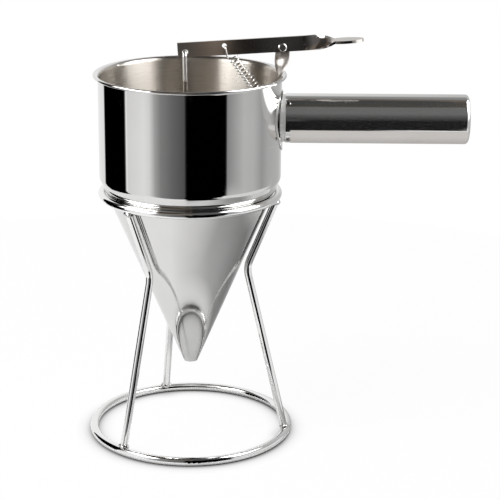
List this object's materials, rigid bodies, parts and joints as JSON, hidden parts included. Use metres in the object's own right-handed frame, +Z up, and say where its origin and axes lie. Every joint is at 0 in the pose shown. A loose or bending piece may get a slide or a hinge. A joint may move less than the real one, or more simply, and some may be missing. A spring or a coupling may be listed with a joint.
{
  "type": "confectionery funnel",
  "caption": "Steel batter funnel with straight hopper, cone, tube handle and a sprung thumb lever that lifts a plug from the outlet, standing in a wire stand on kinked legs",
  "frame": {"origin": "on the funnel's upright axis at table level, in the plane of the base ring's flat underside", "axes": "+X along the handle, +Y away from the side that shows the rod in front of the lever, +Z up"},
  "size_m": [0.2727, 0.1506, 0.2964],
  "materials": {
    "hopper_steel": "mirror polish outside, fine brushed satin inside",
    "polished_steel": "mirror polish",
    "strip_steel": "rolled strip",
    "bright_steel": "bright drawn"
  },
  "bodies": {
    "stand": {"base_ring": "polished_steel", "top_ring": "polished_steel", "leg_left": "polished_steel", "leg_right": "polished_steel", "leg_rear": "polished_steel"},
    "funnel": {"funnel_shell": "hopper_steel", "lever_post": "strip_steel", "handle_flange": "polished_steel", "handle_ferrule": "polished_steel", "handle_tube": "polished_steel", "handle_end_cap": "polished_steel", "handle_pins": "bright_steel", "spring_stud": "strip_steel", "post_rivet": "strip_steel", "pivot_rivet": "bright_steel", "pivot_washer": "strip_steel", "return_spring": "bright_steel"},
    "lever": {"thumb_lever": "strip_steel"},
    "plunger": {"plunger_rod": "bright_steel", "stopper_plug": "strip_steel"}
  },
  "joints": [
    {"name": "funnel_lift", "type": "slide", "parent": "stand", "child": "funnel", "axis": [0, 0, 1], "range_m": [0, 0.14]},
    {"name": "lever_pivot", "type": "hinge", "parent": "funnel", "child": "lever", "pos_m": [0.065, 0, 0.2876], "axis": [0, 1, 0], "range_deg": [0, 15], "stiffness_Nm_per_rad": 0.35, "springref_deg": -20.05, "deforming": ["return_spring"]},
    {"name": "plunger_slide", "type": "slide", "parent": "funnel", "child": "plunger", "axis": [0.0727, 0, 0.9974], "range_m": [0, 0.018]}
  ],
  "couplings": [
    {"joint": "plunger_slide", "follows": "lever_pivot", "m_per_rad": 0.068506}
  ]
}
